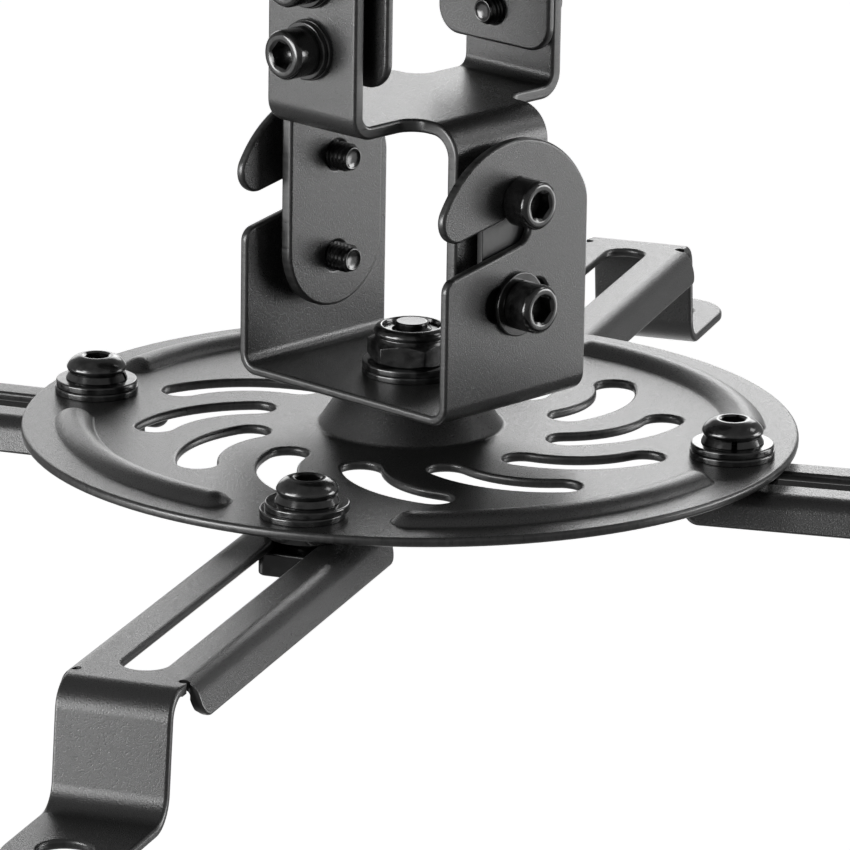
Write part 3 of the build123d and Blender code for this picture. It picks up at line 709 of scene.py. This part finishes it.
low, high = node_box("swivel_bolt")
BOLT_HEAD_H = 5.3
BOLT_OVERLAP = 1  # the rod reaches this far into the head
bolt_head = turned([
    (6.25, 0), (BOLT_ACROSS, 0.05, -0.577), (BOLT_ACROSS, BOLT_HEAD_H, 0), (6.3, BOLT_HEAD_H),
], sides=SWIVEL_SIDES)
bolt_rod = threaded_rod(*M8_THREAD, 0, high.z - low.z - BOLT_HEAD_H + BOLT_OVERLAP, dish=0.02)
rod_top = Matrix.Translation((0, 0, (high.z - low.z) * MM))
bolt_rod.data.transform(rod_top @ Matrix.Rotation(pi, 4, "X"))
swivel_bolt = joined([bolt_head, bolt_rod])
smooth(swivel_bolt, TURNED_SMOOTH)
furnish("swivel_bolt", swivel_bolt, [seat((0, 0, low.z), UPWARD, BOLT_TURN)])
bpy.data.objects.remove(swivel_bolt)

# Camera at the photograph's viewing angle
CAMERA_YAW = radians(45) - 0.025252
CAMERA_PITCH = 0.285999
CAMERA_ROLL = 0.016005
CAMERA_BACK = 1.3801
CAMERA_SIDE = 0.0030324
CAMERA_HEIGHT = 0.2843063
FOCAL_PX, PICTURE_PX, SENSOR_MM = 7055.7, 850, 36
right = Vector((cos(CAMERA_YAW), sin(CAMERA_YAW), 0))
away = Vector((-sin(CAMERA_YAW), cos(CAMERA_YAW), 0))
up = Vector((0, 0, 1))
forward = away * cos(CAMERA_PITCH) - up * sin(CAMERA_PITCH)
level_up = away * sin(CAMERA_PITCH) + up * cos(CAMERA_PITCH)
camera_x = right * cos(CAMERA_ROLL) + level_up * sin(CAMERA_ROLL)
camera_y = level_up * cos(CAMERA_ROLL) - right * sin(CAMERA_ROLL)
deselect()
bpy.ops.object.camera_add(location=right * CAMERA_SIDE - away * CAMERA_BACK + up * CAMERA_HEIGHT)
camera = active()
camera.rotation_euler = Matrix((camera_x, camera_y, -forward)).transposed().to_euler()
camera.data.sensor_width = SENSOR_MM
camera.data.lens = FOCAL_PX / PICTURE_PX * SENSOR_MM
camera.data.clip_start = 0.01
camera.data.clip_end = 100
bpy.context.scene.camera = camera

# Surround as the metal mirrors it: white behind the mount, dim elsewhere
FLOOR_SHADE, WALL_SHADE = 0.12, 0.3  # brightness at the sides and on the camera's side
BACKDROP_FROM, BACKDROP_TO = 0.88, 0.975  # cosines to the direction behind the mount where it rises


def backdrop_strength(tree, direction, shade):
    """Brightness of the surround in a direction: full behind the mount, a shade elsewhere."""
    behind = tree.nodes.new("ShaderNodeVectorMath")
    behind.operation = "DOT_PRODUCT"
    behind.inputs[1].default_value = away
    link(tree, direction, behind.inputs[0])
    rise = tree.nodes.new("ShaderNodeMapRange")
    rise.interpolation_type = "SMOOTHSTEP"
    rise.inputs["From Min"].default_value = BACKDROP_FROM
    rise.inputs["From Max"].default_value = BACKDROP_TO
    rise.inputs["To Min"].default_value = shade
    rise.inputs["To Max"].default_value = 1.0
    link(tree, behind.outputs["Value"], rise.inputs["Value"])
    return rise.outputs["Result"]


def math_node(tree, operation, first, second):
    node = tree.nodes.new("ShaderNodeMath")
    node.operation = operation
    for socket, value in zip(node.inputs, (first, second)):
        if isinstance(value, (int, float)):
            socket.default_value = value
        else:
            link(tree, value, socket)
    return node.outputs["Value"]


def mirrored_rays(tree, rays):
    """1 on the rays that show the surround in a piece or through it."""
    return math_node(tree, "MAXIMUM", rays.outputs["Is Glossy Ray"], rays.outputs["Is Transmission Ray"])


# Floor far below, since the mount hangs from a ceiling; lengths in metres
FLOOR_SIZE, FLOOR_HEIGHT = 60, -2.6
FLOOR_GREY, FLOOR_WHITE = 0.85, 0.96  # as a surface, and as the camera sees it
deselect()
bpy.ops.mesh.primitive_plane_add(size=FLOOR_SIZE, location=(0, 0, FLOOR_HEIGHT))
floor_plane = active()
floor_plane.name = "floor"
floor_paint, floor_tree, floor_shader = new_material("pale_floor")
floor_shader.inputs["Base Color"].default_value = (FLOOR_GREY, FLOOR_GREY, FLOOR_GREY, 1)
floor_shader.inputs["Roughness"].default_value = 0.9
floor_shader.inputs["Emission Color"].default_value = (FLOOR_WHITE, FLOOR_WHITE, FLOOR_WHITE, 1)
floor_place = floor_tree.nodes.new("ShaderNodeTexCoord")
floor_way = floor_tree.nodes.new("ShaderNodeVectorMath")
floor_way.operation = "NORMALIZE"
link(floor_tree, floor_place.outputs["Object"], floor_way.inputs[0])
rays = floor_tree.nodes.new("ShaderNodeLightPath")
floor_light = backdrop_strength(floor_tree, floor_way.outputs["Vector"], FLOOR_SHADE)
floor_mirrored = math_node(floor_tree, "MULTIPLY", mirrored_rays(floor_tree, rays), floor_light)
floor_shown = math_node(floor_tree, "MAXIMUM", rays.outputs["Is Camera Ray"], floor_mirrored)
link(floor_tree, floor_shown, floor_shader.inputs["Emission Strength"])
floor_side = floor_tree.nodes.new("ShaderNodeNewGeometry")
see_through = floor_tree.nodes.new("ShaderNodeBsdfTransparent")
one_sided = floor_tree.nodes.new("ShaderNodeMixShader")  # seen from above, see-through from below
link(floor_tree, floor_side.outputs["Backfacing"], one_sided.inputs["Fac"])
link(floor_tree, floor_shader.outputs["BSDF"], one_sided.inputs[1])
link(floor_tree, see_through.outputs["BSDF"], one_sided.inputs[2])
link(floor_tree, one_sided.outputs["Shader"], floor_tree.nodes["Material Output"].inputs["Surface"])
dress(floor_plane, floor_paint)


# Light: softboxes at both sides and behind, weak fills at the sides and front left, and the surround
LIGHT_AIM = Vector((0, 0, -0.08))
AMBIENT = 0.06
OVERHEAD_FROM, OVERHEAD_TO = 0.35, 0.75  # heights of a direction between which the surround dims
OVERHEAD_SHADE = 0.6


def softbox(name, azimuth, elevation, distance, width, height, radiance):
    """Area lamp that faces the mount. Azimuth is counted from +X, in degrees, and lengths are in metres."""
    a, e = radians(azimuth), radians(elevation)
    spot = LIGHT_AIM + distance * Vector((cos(a) * cos(e), sin(a) * cos(e), sin(e)))
    deselect()
    bpy.ops.object.light_add(type="AREA", location=spot)
    lamp = active()
    lamp.name = name
    lamp.rotation_euler = (spot - LIGHT_AIM).to_track_quat("Z", "Y").to_euler()
    lamp.data.shape = "RECTANGLE"
    lamp.data.size = width
    lamp.data.size_y = height
    lamp.data.energy = radiance * pi * width * height
    lamp.visible_camera = False


softbox("left_softbox", 251, 2, 1.6, 1.1, 0.6, 10.0)
softbox("left_upper_softbox", 265, 19, 1.6, 0.42, 0.4, 6.0)
softbox("right_softbox", 51, 5, 1.6, 0.75, 0.46, 7.0)
softbox("right_lower_softbox", 66, -12, 1.6, 0.7, 0.42, 3.6)
softbox("right_upper_softbox", 58, 36, 1.6, 0.4, 0.42, 3.5)
softbox("back_softbox", 121, 21, 2.2, 0.85, 0.65, 3.0)
softbox("backdrop_softbox", 142, 11, 2.2, 1.4, 0.75, 1.4)
softbox("left_fill", 223, -12, 1.6, 0.9, 0.7, 0.8)
softbox("left_front_fill", 279, 3, 1.6, 0.4, 0.6, 1.7)
softbox("right_fill", 45, -15, 1.6, 0.9, 0.6, 0.7)

world = bpy.data.worlds.new("studio")
bpy.context.scene.world = world
world.use_nodes = True
sky = world.node_tree
sky.nodes.clear()
sky_output = sky.nodes.new("ShaderNodeOutputWorld")
surround = sky.nodes.new("ShaderNodeBackground")
surround.inputs["Color"].default_value = (1, 1, 1, 1)
link(sky, surround.outputs["Background"], sky_output.inputs["Surface"])
toward = sky.nodes.new("ShaderNodeTexCoord")
split = sky.nodes.new("ShaderNodeSeparateXYZ")
link(sky, toward.outputs["Generated"], split.inputs["Vector"])
overhead = sky.nodes.new("ShaderNodeMapRange")
overhead.inputs["From Min"].default_value = OVERHEAD_FROM
overhead.inputs["From Max"].default_value = OVERHEAD_TO
overhead.inputs["To Min"].default_value = 1.0
overhead.inputs["To Max"].default_value = OVERHEAD_SHADE
link(sky, split.outputs["Z"], overhead.inputs["Value"])
sky_rays = sky.nodes.new("ShaderNodeLightPath")
wall_light = backdrop_strength(sky, toward.outputs["Generated"], WALL_SHADE)
shown = math_node(sky, "MULTIPLY", overhead.outputs["Result"], wall_light)
reflected = math_node(sky, "MULTIPLY", mirrored_rays(sky, sky_rays), shown)
seen = math_node(sky, "MAXIMUM", sky_rays.outputs["Is Camera Ray"], reflected)
link(sky, math_node(sky, "MAXIMUM", seen, AMBIENT), surround.inputs["Strength"])

bpy.context.scene.view_settings.view_transform = "Standard"
